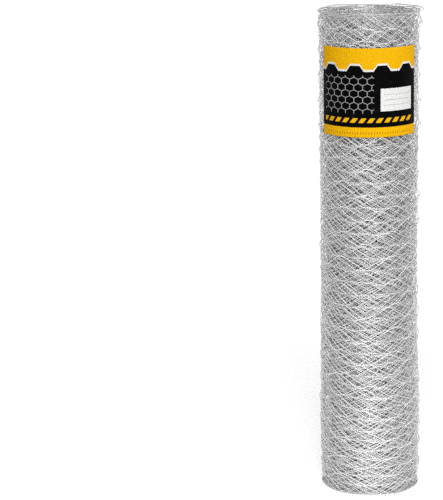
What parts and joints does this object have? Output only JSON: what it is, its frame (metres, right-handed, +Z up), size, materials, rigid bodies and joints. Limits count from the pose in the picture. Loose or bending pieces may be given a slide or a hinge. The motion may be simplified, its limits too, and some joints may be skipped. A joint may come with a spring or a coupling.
{
  "type": "roll of chicken wire",
  "caption": "Upright roll of galvanised hexagonal wire netting, wound round an open bore and slightly waisted, with a card label bent round its front.",
  "frame": {"origin": "middle of the end that the roll stands on, on the floor", "axes": "+Z up along the roll's axis, -Y the way that the label faces, +X to the label's right"},
  "size_m": [0.309, 0.3086, 1.5],
  "materials": {
    "galvanised_wire": "galvanised, dull silver-grey",
    "label_card": "satin printed card, black and yellow"
  },
  "bodies": {
    "root": {"netting_roll": "galvanised_wire", "card_label": "label_card"}
  },
  "joints": []
}
